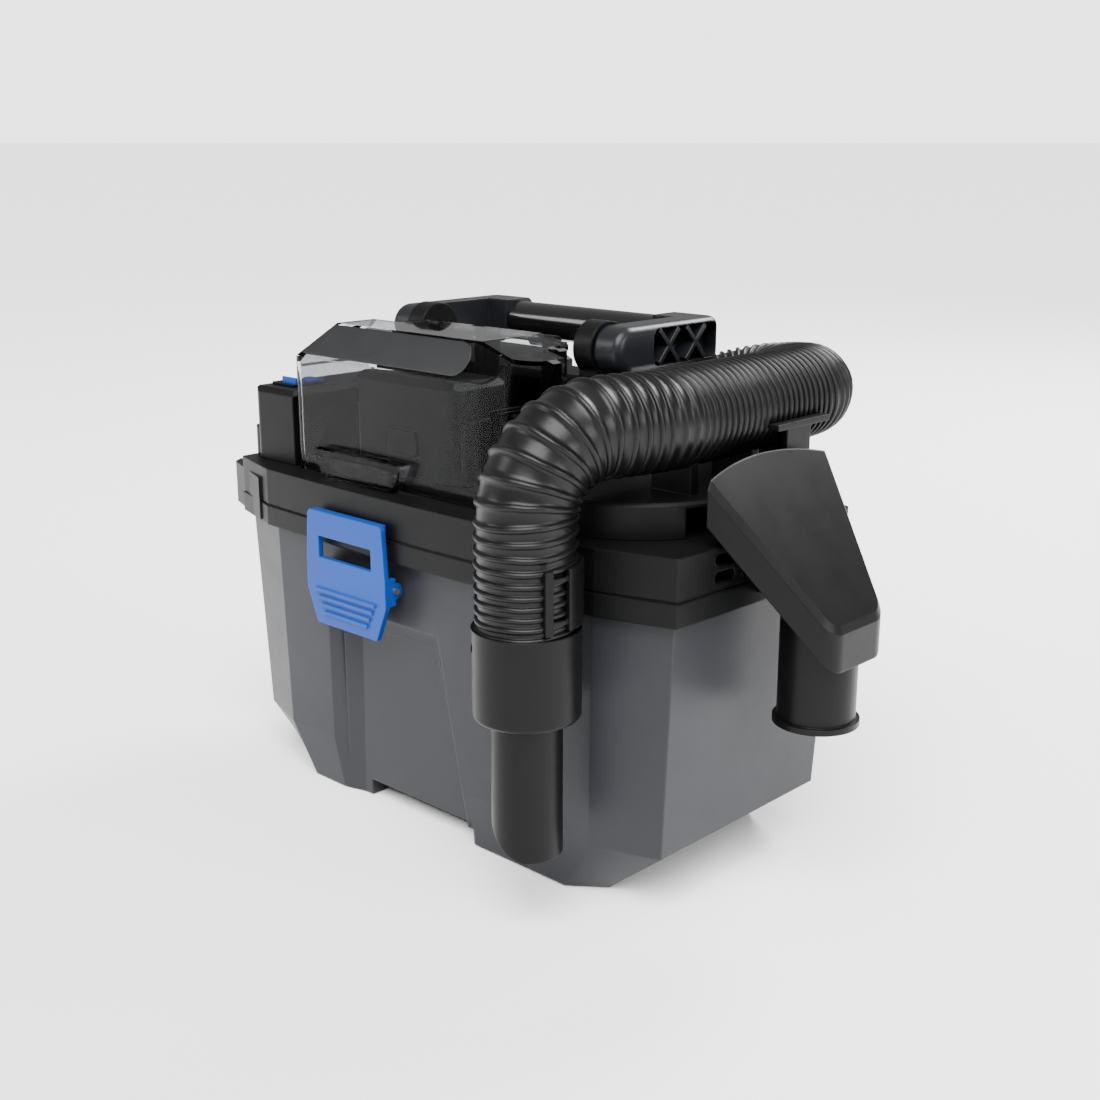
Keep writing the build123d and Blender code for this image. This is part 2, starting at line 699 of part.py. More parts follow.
with BuildPart() as latch_pins:
    for side in (-1, 1):
        bar_x(latch_x - latch_wide / 2 - 1, latch_x + latch_wide / 2 + 1,
              side * latch_pivot_y, latch_pivot_z, latch_pin_r)
save(latch_pins, "latch_pins")

# ---------------------------------------------------------------- carry handle
arm_low = handle_z - handle_r
arm_high = handle_z + handle_r
grip_y = handle_y + grip_reach
arm_end = grip_y + grip_r + 1
pocket_deep = 11.0
rib = 2.4


def handle_arm(side):
    """Arm on the +X (1) or -X (-1) end, with a ribbed pocket in its outer face."""
    inner = arm_inner
    outer = arm_inner + arm_thick
    with BuildPart() as arm:
        bar_x(inner, outer, handle_y, handle_z, handle_r)
        block(inner, outer, handle_y, arm_end, arm_low, arm_high)
        block(grip_half, inner + 1, grip_y - grip_r - 1, arm_end, arm_low, arm_high)
        fillet(arm.edges().filter_by(Axis.Z).group_by(Axis.Y)[-1].sort_by(Axis.X)[-1], 9)
        fillet(arm.edges().filter_by(Axis.X).group_by(Axis.Y)[-1], 5)
        with BuildSketch(Plane.YZ.offset(outer - pocket_deep)):
            with Locations(((handle_y + arm_end) / 2 + 6, handle_z)):
                RectangleRounded(arm_end - handle_y - 20, 2 * handle_r - 5, 5)
        extrude(amount=pocket_deep + 1, mode=Mode.SUBTRACT)
        for centre in (handle_y + 29, handle_y + 51):
            for turn in (-42, 42):
                with Locations(Location((outer - pocket_deep / 2, centre, handle_z), (turn, 0, 0))):
                    Box(pocket_deep, rib, 2 * handle_r - 1)
        bar_x(inner - 1, outer - 3, handle_y, handle_z, pivot_r + run_fit, mode=Mode.SUBTRACT)
    if side < 0:
        return arm.part.mirror(Plane.YZ).moved(Location((handle_mid, 0, 0)))
    return arm.part.moved(Location((handle_mid, 0, 0)))


for side, label in ((1, "handle_arm_right"), (-1, "handle_arm_left")):
    with BuildPart() as arm:
        add(handle_arm(side))
    save(arm, label)

with BuildPart() as handle_grip:
    bar_x(handle_mid - grip_half, handle_mid + grip_half, grip_y, handle_z, grip_r)
save(handle_grip, "handle_grip")

with BuildPart() as handle_pins:
    bar_x(boss_right + 2, boss_right + boss_thick + arm_thick - 5, handle_y, handle_z, pivot_r)
    bar_x(boss_left - arm_thick + 5, boss_left + boss_thick - 2, handle_y, handle_z, pivot_r)
save(handle_pins, "handle_pins")

# ---------------------------------------------------------------- raised deck under the hose
hose_z = 238.0
hose_run_x = 128.0
hose_back_y = 104.0
hose_deck_top = 202.0
hose_deck_right = 156.0
with BuildPart() as hose_deck:
    with BuildSketch(Plane.XY.offset(deck_top)):
        with BuildLine():
            Line((head_right + 4, -70), (104, -72))
            ThreePointArc((104, -72), (142, -47), (hose_deck_right, -6))
            Line((hose_deck_right, -6), (hose_deck_right, 66))
            Line((hose_deck_right, 66), (head_right + 4, 66))
            Line((head_right + 4, 66), (head_right + 4, -70))
        make_face()
    extrude(amount=hose_deck_top - deck_top)
    chamfer(hose_deck.edges().group_by(Axis.Z)[-1], 1.5)
    block(head_right + 4 + shell, hose_deck_right - shell, -40, 66 - shell,
          deck_top - 1, hose_deck_top - shell, mode=Mode.SUBTRACT)
    # cradles that carry the hose
    for y in (-26, 22, 56):
        block(hose_run_x - 12, hose_run_x + 12, y - 3, y + 3, hose_deck_top - shell, hose_z - 19)
    with Locations(Location((hose_run_x, 20, hose_z), (90, 0, 0))):
        Cylinder(hose_r + part_gap / 2, 120, mode=Mode.SUBTRACT)
save(hose_deck, "hose_deck")

with BuildPart() as side_hose_clip:
    clip_x = hose_run_x + hose_r + 1.2
    bar_y = 38
    block(clip_x - 1, clip_x + 2, bar_y - 10, bar_y + 10, hose_deck_top, hose_z - 6)
    block(clip_x - 6, clip_x + 2, bar_y - 10, bar_y + 10, hose_deck_top, hose_deck_top + 3)
    block(clip_x - 1, clip_x + 5, bar_y - 22, bar_y + 22, hose_z - 9, hose_z - 6)
    with Locations(Location((hose_run_x, 20, hose_z), (90, 0, 0))):
        Cylinder(hose_r + part_gap / 2, 120, mode=Mode.SUBTRACT)
save(side_hose_clip, "side_hose_clip")

with BuildPart() as hose_tie_ring:
    ring_x = head_right
    ring_y = head_notch_y - 8
    bar_x(ring_x, ring_x + 9, ring_y, 240, 9)
    bar_x(ring_x - 1, ring_x + 10, ring_y, 240, 5.5, mode=Mode.SUBTRACT)
save(hose_tie_ring, "hose_tie_ring")

# ---------------------------------------------------------------- dirt inlet
elbow_turn = 37.0
elbow_r = 26.0
elbow_z = 225.0
collar = 16.0
along = Vector(math.cos(math.radians(elbow_turn)), math.sin(math.radians(elbow_turn)), 0)
elbow_end = Vector(inlet_x, inlet_y, elbow_z) + along * elbow_r
hose_end = elbow_end + along * collar
with BuildPart() as inlet_elbow:
    with BuildLine() as elbow_path:
        FilletPolyline((inlet_x, inlet_y, deck_top), (inlet_x, inlet_y, elbow_z),
                       (hose_end.X, hose_end.Y, elbow_z), radius=elbow_r - 0.5)
    with BuildSketch(Plane(origin=(inlet_x, inlet_y, deck_top), z_dir=(0, 0, 1))):
        Circle(inlet_r)
        Circle(inlet_bore, mode=Mode.SUBTRACT)
    sweep(path=elbow_path.wires()[0])
    drum(inlet_x, inlet_y, deck_top, deck_top + 3, inlet_r + 4)
    drum(inlet_x, inlet_y, deck_top - 1, deck_top + 4, inlet_bore, mode=Mode.SUBTRACT)
save(inlet_elbow, "inlet_elbow")

with BuildPart() as inlet_deflector:
    drum(inlet_x, inlet_y, 140, deck_low, inlet_r)
    drum(inlet_x, inlet_y, 139, deck_low + 1, inlet_bore, mode=Mode.SUBTRACT)
    with Locations(Location((inlet_x, inlet_y - 18, 138), (38, 0, 0))):
        Box(60, 60, 18, mode=Mode.SUBTRACT)
save(inlet_deflector, "inlet_deflector")

# ---------------------------------------------------------------- hose, cuff and crevice tool
hose_low = cuff_top - 12.0
hose_points = [
    (hose_x, hose_y, hose_low),
    (hose_x, hose_y, hose_z),
    (hose_run_x, -40, hose_z),
    (hose_run_x, hose_back_y, hose_z),
    (hose_end.X + along.X * 26 + 12, hose_back_y + 2, hose_z - 6),
    (hose_end.X + along.X * 15, hose_end.Y + along.Y * 15, elbow_z),
    (hose_end.X, hose_end.Y, elbow_z),
]
hose_radii = [38.0, 60.0, 32.0, 30.0, 20.0]
with BuildPart() as hose:
    with BuildLine() as hose_path:
        FilletPolyline(*hose_points, radius=hose_radii)
    with BuildSketch(Plane(origin=hose_points[0], z_dir=(0, 0, 1))):
        Circle(hose_r)
        Circle(hose_bore, mode=Mode.SUBTRACT)
    sweep(path=hose_path.wires()[0])
save(hose, "hose")

with BuildPart() as hose_cuff:
    drum(hose_x, hose_y, cuff_low, cuff_top, cuff_r)
    fillet(hose_cuff.edges().group_by(Axis.Z)[0], 2.5)
    drum(hose_x, hose_y, hose_low, cuff_top + 1, hose_r, mode=Mode.SUBTRACT)
    drum(hose_x, hose_y, cuff_low - 1, hose_low + 1, tool_r, mode=Mode.SUBTRACT)
    block(hose_x - 20, hose_x - 13, hose_y - cuff_r - 1, hose_y - 10, 139, 143, mode=Mode.SUBTRACT)
save(hose_cuff, "hose_cuff")

with BuildPart() as crevice_tool:
    drum(hose_x, hose_y, tool_tip, cuff_low + 24, tool_r)
    drum(hose_x, hose_y, tool_tip - 1, cuff_low + 25, tool_r - tool_wall, mode=Mode.SUBTRACT)
    with BuildSketch(Plane.XZ.offset(-hose_y - tool_r - 2)):
        with BuildLine():
            Line((hose_x - tool_r - 1, tool_tip + tool_cut + 2), (hose_x - tool_r - 1, tool_tip - 2))
            Line((hose_x - tool_r - 1, tool_tip - 2), (hose_x + tool_r + 1, tool_tip - 2))
            ThreePointArc((hose_x + tool_r + 1, tool_tip - 2), (hose_x - 1, tool_tip + 6),
                          (hose_x - tool_r - 1, tool_tip + tool_cut + 2))
        make_face()
    extrude(amount=2 * tool_r + 4, mode=Mode.SUBTRACT)
save(crevice_tool, "crevice_tool")

clip_low = 153.0
clip_high = 182.0
clip_wall = 3.0
clip_bar = 4.0
with BuildPart() as front_hose_clip:
    drum(hose_x, hose_y, clip_low, clip_high, hose_r + clip_wall)
    block(hose_x - 40, hose_x + 40, hose_y - 40, hose_y - 2, clip_low, clip_high, mode=Mode.SUBTRACT)
    # two slim hoops run on round the front to the upright bar
    for z in (clip_low + 3, clip_high - 6):
        drum(hose_x, hose_y, z, z + 2.4, hose_r + clip_wall / 2)
    drum(hose_x, hose_y, clip_low - 1, clip_high + 1, hose_r + part_gap / 2, mode=Mode.SUBTRACT)
    block(hose_x - 40, hose_x + 2, hose_y - 40, hose_y + 4, clip_low - 1, clip_high + 1, mode=Mode.SUBTRACT)
    block(hose_x - 40, hose_x + 40, -rim_half_y - 1.2, 0, clip_low - 1, clip_high + 1, mode=Mode.SUBTRACT)
    block(hose_x + 2, hose_x + 2 + clip_bar, hose_y - hose_r - 4, hose_y - hose_r - 0.6,
          clip_low, clip_high + 1)
save(front_hose_clip, "front_hose_clip")

# ---------------------------------------------------------------- nozzle and its bracket
flange_r = nozzle_r + 2.0


def nozzle_plan(inset):
    """Fan outline of the nozzle head seen from above."""
    with BuildSketch(Plane.XY.offset(100)) as outline:
        with BuildLine():
            half = mouth_half - inset
            tip_half = tip_r - inset
            tip_x = nozzle_x + tip_r - inset
            ThreePointArc((mouth_x, nozzle_y - half), (mouth_x - 5, nozzle_y), (mouth_x, nozzle_y + half))
            Line((mouth_x, nozzle_y + half), (tip_x, nozzle_y + tip_half))
            Line((tip_x, nozzle_y + tip_half), (tip_x, nozzle_y - tip_half))
            Line((tip_x, nozzle_y - tip_half), (mouth_x, nozzle_y - half))
        make_face()
        fillet(outline.vertices().group_by(Axis.X)[-1], 13)
    return outline.sketch


def nozzle_slab(inset, drop, thick):
    """Slanted slab of the fan outline, from the given drop below the mouth's upper lip."""
    top = mouth_z - drop
    x0 = mouth_x - 10
    x1 = nozzle_x + tip_r + 10
    z0 = top + 10 * nozzle_slope
    z1 = top - (x1 - mouth_x) * nozzle_slope
    with BuildPart() as slab:
        extrude(nozzle_plan(inset), amount=160)
        with BuildSketch(Plane.XZ.offset(-100)):
            with BuildLine():
                Polyline((x0, z0), (x1, z1), (x1, z1 - thick), (x0, z0 - thick), close=True)
            make_face()
        extrude(amount=200, mode=Mode.INTERSECT)
    return slab.part


head_hollow = nozzle_slab(nozzle_wall, nozzle_wall + 1, nozzle_thick - 2 * nozzle_wall - 2)
with BuildPart() as tube_bore:
    drum(nozzle_x, nozzle_y, nozzle_socket_top, mouth_z, throat_r)
    add(nozzle_slab(0, nozzle_wall + 1, 80), mode=Mode.INTERSECT)
with BuildPart() as nozzle_head:
    add(nozzle_slab(0, 0, nozzle_thick))
    roof = nozzle_head.faces().filter_by(lambda face: face.normal_at().Z > 0.5).sort_by(SortBy.AREA)[-1]
    chamfer(roof.edges().filter_by(lambda edge: edge.center().X > mouth_x), nozzle_wall)
    add(head_hollow, mode=Mode.SUBTRACT)
    add(head_hollow.moved(Location((-8, 0, 8 * nozzle_slope))), mode=Mode.SUBTRACT)
    add(tube_bore.part, mode=Mode.SUBTRACT)
save(nozzle_head, "nozzle_head")

tube_top = mouth_z - nozzle_thick - (nozzle_x - nozzle_r - mouth_x) * nozzle_slope
with BuildPart() as nozzle_tube:
    drum(nozzle_x, nozzle_y, nozzle_low, tube_top, nozzle_r)
    drum(nozzle_x, nozzle_y, nozzle_low, nozzle_low + 3, flange_r)
    drum(nozzle_x, nozzle_y, nozzle_low - 1, nozzle_socket_top, nozzle_r - nozzle_wall, mode=Mode.SUBTRACT)
    drum(nozzle_x, nozzle_y, nozzle_low, tube_top + 1, throat_r, mode=Mode.SUBTRACT)
    add(nozzle_slab(-4, -40, nozzle_thick + 40), mode=Mode.SUBTRACT)
save(nozzle_tube, "nozzle_tube")

with BuildPart() as nozzle_bracket:
    wall_x = rim_half_x + rim_bow / 2
    block(wall_x, nozzle_x - 8, nozzle_y - 13, nozzle_y + 13, 156, 164)
    drum(nozzle_x, nozzle_y, 150, 170, nozzle_r + 0.2, mode=Mode.SUBTRACT)
save(nozzle_bracket, "nozzle_bracket")
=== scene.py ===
from math import acos, radians, tan, tanh

import bmesh
import bpy
from mathutils import Matrix, Vector, noise


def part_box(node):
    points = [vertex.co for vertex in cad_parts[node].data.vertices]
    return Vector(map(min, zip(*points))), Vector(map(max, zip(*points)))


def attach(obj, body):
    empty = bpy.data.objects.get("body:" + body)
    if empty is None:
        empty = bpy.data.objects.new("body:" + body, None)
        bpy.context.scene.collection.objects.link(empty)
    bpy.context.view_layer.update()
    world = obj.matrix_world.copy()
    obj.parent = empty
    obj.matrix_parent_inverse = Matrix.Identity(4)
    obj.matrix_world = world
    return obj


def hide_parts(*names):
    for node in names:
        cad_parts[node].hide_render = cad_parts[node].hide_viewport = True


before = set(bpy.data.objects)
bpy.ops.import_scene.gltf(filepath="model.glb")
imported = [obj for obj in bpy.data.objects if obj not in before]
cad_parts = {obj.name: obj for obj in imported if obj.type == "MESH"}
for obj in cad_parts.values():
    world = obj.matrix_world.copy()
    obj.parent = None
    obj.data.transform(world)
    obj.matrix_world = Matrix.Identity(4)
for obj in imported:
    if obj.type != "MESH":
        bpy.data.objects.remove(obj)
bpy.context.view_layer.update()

# Studio. A pale seamless floor under the vacuum, a white surround, one broad soft
# lamp from the right and a weaker one from the front left, and the camera.
floor_mesh = bpy.data.meshes.new("studio_floor")
shape = bmesh.new()
bmesh.ops.create_circle(shape, cap_ends=True, segments=64, radius=200)
shape.to_mesh(floor_mesh)
shape.free()
studio_floor = bpy.data.objects.new("studio_floor", floor_mesh)
bpy.context.collection.objects.link(studio_floor)


def new_material(name):
    material = bpy.data.materials.new(name)
    material.use_nodes = True
    nodes = material.node_tree.nodes
    return material, material.node_tree, nodes["Principled BSDF"]


paper, _, paper_shader = new_material("studio_paper")
paper_shader.inputs["Base Color"].default_value = (0.93, 0.93, 0.93, 1)
paper_shader.inputs["Roughness"].default_value = 0.9
floor_mesh.materials.append(paper)

# the surround is brighter to look at than it is as a light, so that it reads as white paper
surround = bpy.data.worlds.new("surround")
surround.use_nodes = True
sky_tree = surround.node_tree
sky = sky_tree.nodes["Background"]
sky.inputs["Color"].default_value = (1, 1, 1, 1)
seen = sky_tree.nodes.new("ShaderNodeLightPath")
sky_level = sky_tree.nodes.new("ShaderNodeMapRange")
sky_level.inputs["To Min"].default_value = 0.45
sky_level.inputs["To Max"].default_value = 3.1
sky_tree.links.new(seen.outputs["Is Camera Ray"], sky_level.inputs["Value"])
sky_tree.links.new(sky_level.outputs["Result"], sky.inputs["Strength"])
bpy.context.scene.world = surround

day = bpy.data.lights.new("day_lamp", "SUN")
day.energy = 9.0
day.angle = radians(50)
day_holder = bpy.data.objects.new("day_lamp", day)
day_holder.rotation_euler = (radians(28), radians(22), 0)
bpy.context.collection.objects.link(day_holder)


def soft_lamp(name, place, target, size, power):
    lamp = bpy.data.lights.new(name, "AREA")
    lamp.shape = "DISK"
    lamp.size = size
    lamp.energy = power
    holder = bpy.data.objects.new(name, lamp)
    holder.location = place
    holder.rotation_euler = (Vector(target) - Vector(place)).to_track_quat("-Z", "Y").to_euler()
    bpy.context.collection.objects.link(holder)


soft_lamp("right_lamp", (1.9, 0.2, 0.9), (0, 0, 0.12), 0.9, 26)
soft_lamp("left_lamp", (-1.3, -1.5, 1.1), (0, 0, 0.12), 0.8, 15)
soft_lamp("back_lamp", (0.1, 1.7, 1.5), (0, 0, 0.2), 0.9, 60)

camera_data = bpy.data.cameras.new("camera")
camera_data.lens = 48.7
camera_data.sensor_width = 36
camera = bpy.data.objects.new("camera", camera_data)
camera.location = (0.5652, -0.5739, 0.365)
camera.rotation_euler = (radians(74.6), 0, radians(43.5))
bpy.context.collection.objects.link(camera)
bpy.context.scene.camera = camera


# Tank. One deep blue-grey polypropylene moulding with a fine spark-eroded grain. Its
# edges are softened by the mould and rub a little paler where it is carried and set down.
mm = 0.001


def node_group(name, inputs, outputs):
    group = bpy.data.node_groups.new(name, "ShaderNodeTree")
    for label, kind, value in inputs:
        socket = group.interface.new_socket(name=label, in_out="INPUT", socket_type=kind)
        socket.default_value = value
    for label, kind in outputs:
        group.interface.new_socket(name=label, in_out="OUTPUT", socket_type=kind)
    return group, group.nodes.new("NodeGroupInput"), group.nodes.new("NodeGroupOutput")


def add(tree, kind, **settings):
    node = tree.nodes.new(kind)
    for key, value in settings.items():
        setattr(node, key, value)
    return node


def join(tree, *pairs):
    for source, target in pairs:
        tree.links.new(source, target)


# mould grain: fine pits with softened edges, and a mask of those edges
grain_group, given, result = node_group(
    "mould_grain",
    [("Pit Size", "NodeSocketFloat", 900.0), ("Depth", "NodeSocketFloat", 0.1),
     ("Edge Radius", "NodeSocketFloat", 0.8 * mm)],
    [("Normal", "NodeSocketVector"), ("Edge", "NodeSocketFloat")],
)
place = add(grain_group, "ShaderNodeTexCoord")
pits = add(grain_group, "ShaderNodeTexNoise")
pits.inputs["Detail"].default_value = 3
soft_edge = add(grain_group, "ShaderNodeBevel", samples=6)
bump = add(grain_group, "ShaderNodeBump")
bump.inputs["Distance"].default_value = 0.4 * mm
surface = add(grain_group, "ShaderNodeNewGeometry")
match = add(grain_group, "ShaderNodeVectorMath", operation="DOT_PRODUCT")
edge_range = add(grain_group, "ShaderNodeMapRange")
edge_range.inputs["From Min"].default_value = 0.995
edge_range.inputs["From Max"].default_value = 0.86
join(grain_group,
     (place.outputs["Object"], pits.inputs["Vector"]),
     (given.outputs["Pit Size"], pits.inputs["Scale"]),
     (given.outputs["Edge Radius"], soft_edge.inputs["Radius"]),
     (pits.outputs["Fac"], bump.inputs["Height"]),
     (given.outputs["Depth"], bump.inputs["Strength"]),
     (soft_edge.outputs["Normal"], bump.inputs["Normal"]),
     (bump.outputs["Normal"], result.inputs["Normal"]),
     (soft_edge.outputs["Normal"], match.inputs[0]),
     (surface.outputs["Normal"], match.inputs[1]),
     (match.outputs["Value"], edge_range.inputs["Value"]),
     (edge_range.outputs["Result"], result.inputs["Edge"]))

# handled plastic: cloudy colour, pale rubbed edges, dust that settles on top
wear_group, given, result = node_group(
    "handled_plastic",
    [("Colour", "NodeSocketColor", (0.1, 0.1, 0.1, 1)), ("Edge", "NodeSocketFloat", 0.0),
     ("Edge Rub", "NodeSocketFloat", 0.3), ("Dust", "NodeSocketFloat", 0.1),
     ("Roughness", "NodeSocketFloat", 0.45)],
    [("Colour", "NodeSocketColor"), ("Roughness", "NodeSocketFloat")],
)
place = add(wear_group, "ShaderNodeTexCoord")
cloud = add(wear_group, "ShaderNodeTexNoise")
cloud.inputs["Scale"].default_value = 14
cloud.inputs["Detail"].default_value = 5
smear = add(wear_group, "ShaderNodeTexNoise")
smear.inputs["Scale"].default_value = 60
smear.inputs["Detail"].default_value = 8
smear.inputs["Roughness"].default_value = 0.7
cloud_range = add(wear_group, "ShaderNodeMapRange")
cloud_range.inputs["From Min"].default_value = 0.3
cloud_range.inputs["From Max"].default_value = 0.7
cloud_range.inputs["To Min"].default_value = 0.93
cloud_range.inputs["To Max"].default_value = 1.07
tinted = add(wear_group, "ShaderNodeVectorMath", operation="SCALE")
rub = add(wear_group, "ShaderNodeMath", operation="MULTIPLY")
rub_patch = add(wear_group, "ShaderNodeMath", operation="MULTIPLY")
paler = add(wear_group, "ShaderNodeVectorMath", operation="SCALE")
paler.inputs["Scale"].default_value = 1.9
rubbed = add(wear_group, "ShaderNodeMix", data_type="RGBA")
facing = add(wear_group, "ShaderNodeNewGeometry")
facing_parts = add(wear_group, "ShaderNodeSeparateXYZ")
upward = add(wear_group, "ShaderNodeMapRange")
upward.inputs["From Min"].default_value = 0.55
upward.inputs["From Max"].default_value = 1.0
dust_patch = add(wear_group, "ShaderNodeMath", operation="MULTIPLY")
dust_amount = add(wear_group, "ShaderNodeMath", operation="MULTIPLY")
dusty = add(wear_group, "ShaderNodeMix", data_type="RGBA")
dusty.inputs["B"].default_value = (0.36, 0.35, 0.33, 1)
rough_smear = add(wear_group, "ShaderNodeMapRange")
rough_smear.inputs["To Min"].default_value = -0.09
rough_smear.inputs["To Max"].default_value = 0.09
rough_sum = add(wear_group, "ShaderNodeMath", operation="ADD")
rough_dust = add(wear_group, "ShaderNodeMath", operation="ADD", use_clamp=True)
join(wear_group,
     (place.outputs["Object"], cloud.inputs["Vector"]),
     (place.outputs["Object"], smear.inputs["Vector"]),
     (cloud.outputs["Fac"], cloud_range.inputs["Value"]),
     (given.outputs["Colour"], tinted.inputs[0]),
     (cloud_range.outputs["Result"], tinted.inputs["Scale"]),
     (given.outputs["Edge"], rub.inputs[0]),
     (given.outputs["Edge Rub"], rub.inputs[1]),
     (rub.outputs["Value"], rub_patch.inputs[0]),
     (smear.outputs["Fac"], rub_patch.inputs[1]),
     (tinted.outputs["Vector"], paler.inputs[0]),
     (rub_patch.outputs["Value"], rubbed.inputs["Factor"]),
     (tinted.outputs["Vector"], rubbed.inputs["A"]),
     (paler.outputs["Vector"], rubbed.inputs["B"]),
     (facing.outputs["Normal"], facing_parts.inputs["Vector"]),
     (facing_parts.outputs["Z"], upward.inputs["Value"]),
     (upward.outputs["Result"], dust_patch.inputs[0]),
     (smear.outputs["Fac"], dust_patch.inputs[1]),
     (dust_patch.outputs["Value"], dust_amount.inputs[0]),
     (given.outputs["Dust"], dust_amount.inputs[1]),
     (dust_amount.outputs["Value"], dusty.inputs["Factor"]),
     (rubbed.outputs["Result"], dusty.inputs["A"]),
     (dusty.outputs["Result"], result.inputs["Colour"]),
     (smear.outputs["Fac"], rough_smear.inputs["Value"]),
     (given.outputs["Roughness"], rough_sum.inputs[0]),
     (rough_smear.outputs["Result"], rough_sum.inputs[1]),
     (rough_sum.outputs["Value"], rough_dust.inputs[0]),
     (dust_amount.outputs["Value"], rough_dust.inputs[1]),
     (rough_dust.outputs["Value"], result.inputs["Roughness"]))


def moulded_plastic(name, colour, roughness, pits=900, depth=0.1, edge=0.8 * mm, rub=0.3, dust=0.1,
                    gloss=0.5):
    material, tree, shader = new_material(name)
    grain = add(tree, "ShaderNodeGroup", node_tree=grain_group)
    grain.inputs["Pit Size"].default_value = pits
    grain.inputs["Depth"].default_value = depth
    grain.inputs["Edge Radius"].default_value = edge
    wear = add(tree, "ShaderNodeGroup", node_tree=wear_group)
    wear.inputs["Colour"].default_value = (*colour, 1)
    wear.inputs["Edge Rub"].default_value = rub
    wear.inputs["Dust"].default_value = dust
    wear.inputs["Roughness"].default_value = roughness
    join(tree,
         (grain.outputs["Edge"], wear.inputs["Edge"]),
         (wear.outputs["Colour"], shader.inputs["Base Color"]),
         (wear.outputs["Roughness"], shader.inputs["Roughness"]),
         (grain.outputs["Normal"], shader.inputs["Normal"]))
    shader.inputs["Specular IOR Level"].default_value = gloss
    return material


def finish(material, *names):
    for name in names:
        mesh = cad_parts[name].data
        mesh.materials.clear()
        mesh.materials.append(material)


tank_plastic = moulded_plastic("tank_plastic", (0.0165, 0.0175, 0.0208), 0.40, edge=1.6 * mm, rub=0.7,
                               dust=0.01, gloss=0.22)
finish(tank_plastic, "tank")

# Feet and seal. Soft black rubber: four round pads under the corners and the flat
# ring that the lid presses down on.
foot_rubber = moulded_plastic("foot_rubber", (0.007, 0.007, 0.007), 0.8, pits=500, depth=0.3, rub=0.1)
finish(foot_rubber, "rubber_feet", "tank_seal")

# Lid, console and head. Near-black moulded covers in the same grain as the tank but a
# little smoother. The vents, ledges and lifting lip are part of the mouldings.
lid_plastic = moulded_plastic("lid_plastic", (0.0024, 0.0025, 0.0027), 0.42, edge=1.2 * mm, rub=0.7,
                              dust=0.004, gloss=0.12)
finish(lid_plastic, "lid_rim", "left_console", "head_housing", "battery_bay", "hose_deck", "handle_bosses",
       "nozzle_bracket", "side_hose_clip", "hose_tie_ring", "switch_bezel", "battery_button",
       "fan_housing", "filter_cage", "filter_clamp", "inlet_elbow", "inlet_deflector", "cover_catch")

# Switch and latches. Bright blue acetal mouldings. The rocker snaps into its bezel, and each
# latch turns on a steel pin through two lugs on the tank and hooks over the lid's rim.
blue_plastic = moulded_plastic("blue_plastic", (0.0022, 0.040, 0.235), 0.34, pits=700, depth=0.06,
                               edge=1.0 * mm, rub=0.35, dust=0.004, gloss=0.2)
finish(blue_plastic, "front_latch", "rear_latch", "power_switch")


# Steel pins, screws, shaft, bearings, motor can and pack contacts, and the fan wheel. Turned
# or drawn bright steel, and cast aluminium for the wheel, with fine lines and dull patches.
def turned_metal(name, colour, roughness, lines):
    material, tree, shader = new_material(name)
    place = add(tree, "ShaderNodeTexCoord")
    drawn = add(tree, "ShaderNodeMapping")
    drawn.inputs["Scale"].default_value = (lines, 40, 40)
    streak = add(tree, "ShaderNodeTexNoise")
    streak.inputs["Detail"].default_value = 4
    rough = add(tree, "ShaderNodeMapRange")
    rough.inputs["To Min"].default_value = roughness - 0.1
    rough.inputs["To Max"].default_value = roughness + 0.15
    tone = add(tree, "ShaderNodeMix", data_type="RGBA")
    tone.inputs["A"].default_value = (*[c * 0.7 for c in colour], 1)
    tone.inputs["B"].default_value = (*colour, 1)
    bump = add(tree, "ShaderNodeBump")
    bump.inputs["Strength"].default_value = 0.1
    bump.inputs["Distance"].default_value = 0.2 * mm
    join(tree,
         (place.outputs["Object"], drawn.inputs["Vector"]),
         (drawn.outputs["Vector"], streak.inputs["Vector"]),
         (streak.outputs["Fac"], rough.inputs["Value"]),
         (streak.outputs["Fac"], tone.inputs["Factor"]),
         (streak.outputs["Fac"], bump.inputs["Height"]),
         (tone.outputs["Result"], shader.inputs["Base Color"]),
         (rough.outputs["Result"], shader.inputs["Roughness"]),
         (bump.outputs["Normal"], shader.inputs["Normal"]))
    shader.inputs["Metallic"].default_value = 1.0
    return material


bright_steel = turned_metal("bright_steel", (0.56, 0.57, 0.58), 0.3, 900)
finish(bright_steel, "latch_pins", "handle_pins", "cover_hinge_pin", "housing_screws", "motor_shaft",
       "motor_bearings", "motor", "battery_terminals")
cast_aluminium = turned_metal("cast_aluminium", (0.62, 0.63, 0.65), 0.4, 300)
finish(cast_aluminium, "impeller")

# Filter sleeve, float and circuit board, all inside. The sleeve is folded filter paper,
# the float a hollow white ball, and the board has a green coat over its tracks.
pleat_material, pleat_tree, pleat_shader = new_material("filter_paper")
place = add(pleat_tree, "ShaderNodeTexCoord")
folds = add(pleat_tree, "ShaderNodeTexGradient", gradient_type="RADIAL")
sleeve_low, sleeve_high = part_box("filter_sleeve")
sleeve_middle = (sleeve_low + sleeve_high) / 2
centred = add(pleat_tree, "ShaderNodeMapping")
centred.inputs["Location"].default_value = (-sleeve_middle.x, -sleeve_middle.y, 0)
pleat_count = add(pleat_tree, "ShaderNodeMath", operation="MULTIPLY")
pleat_count.inputs[1].default_value = 64
pleat_wave = add(pleat_tree, "ShaderNodeMath", operation="PINGPONG")
pleat_wave.inputs[1].default_value = 0.5
pleat_bump = add(pleat_tree, "ShaderNodeBump")
pleat_bump.inputs["Distance"].default_value = 2 * mm
# the paper colour is painted darker down in each pleat valley and paler on the ridges, following the fold
# height: painted shade in the folds, not a colour the paper has
pleat_painted_shade = add(pleat_tree, "ShaderNodeMix", data_type="RGBA")
pleat_painted_shade.inputs["A"].default_value = (0.42, 0.40, 0.33, 1)
